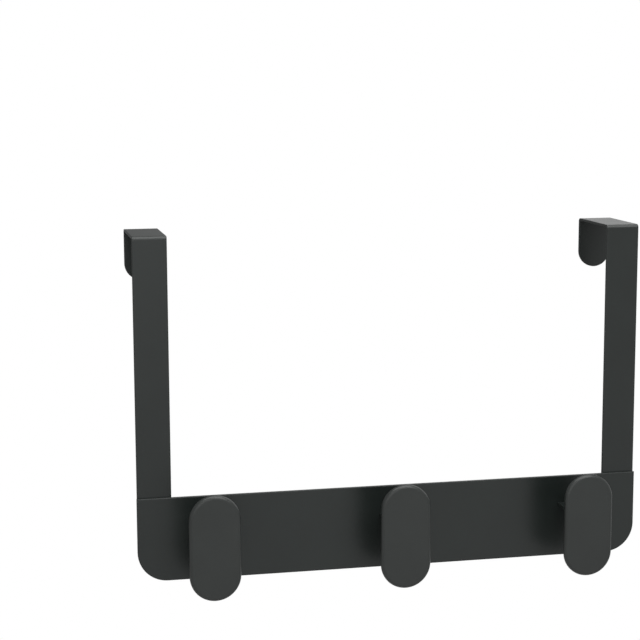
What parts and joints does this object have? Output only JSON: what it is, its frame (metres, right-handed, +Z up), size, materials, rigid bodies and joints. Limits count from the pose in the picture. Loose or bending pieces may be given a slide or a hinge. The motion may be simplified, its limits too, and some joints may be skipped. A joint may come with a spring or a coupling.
{
  "type": "over-door hook rack",
  "caption": "Sheet-steel rail with upright pill-shaped coat hooks, hung over a door by flat straps that bend back to short round-ended tabs.",
  "frame": {"origin": "midway along the rail, on the line where the door's front face meets its top edge", "axes": "+X along the rail to the right, +Y back through the door, +Z up"},
  "size_m": [0.305, 0.0815, 0.2058],
  "materials": {
    "powder_coat": "matt anthracite powder coat with a fine texture"
  },
  "bodies": {
    "root": {"rail_plate": "powder_coat", "left_strap": "powder_coat", "right_strap": "powder_coat", "left_hook_bracket": "powder_coat", "left_hook_face": "powder_coat", "middle_hook_bracket": "powder_coat", "middle_hook_face": "powder_coat", "right_hook_bracket": "powder_coat", "right_hook_face": "powder_coat"}
  },
  "joints": []
}
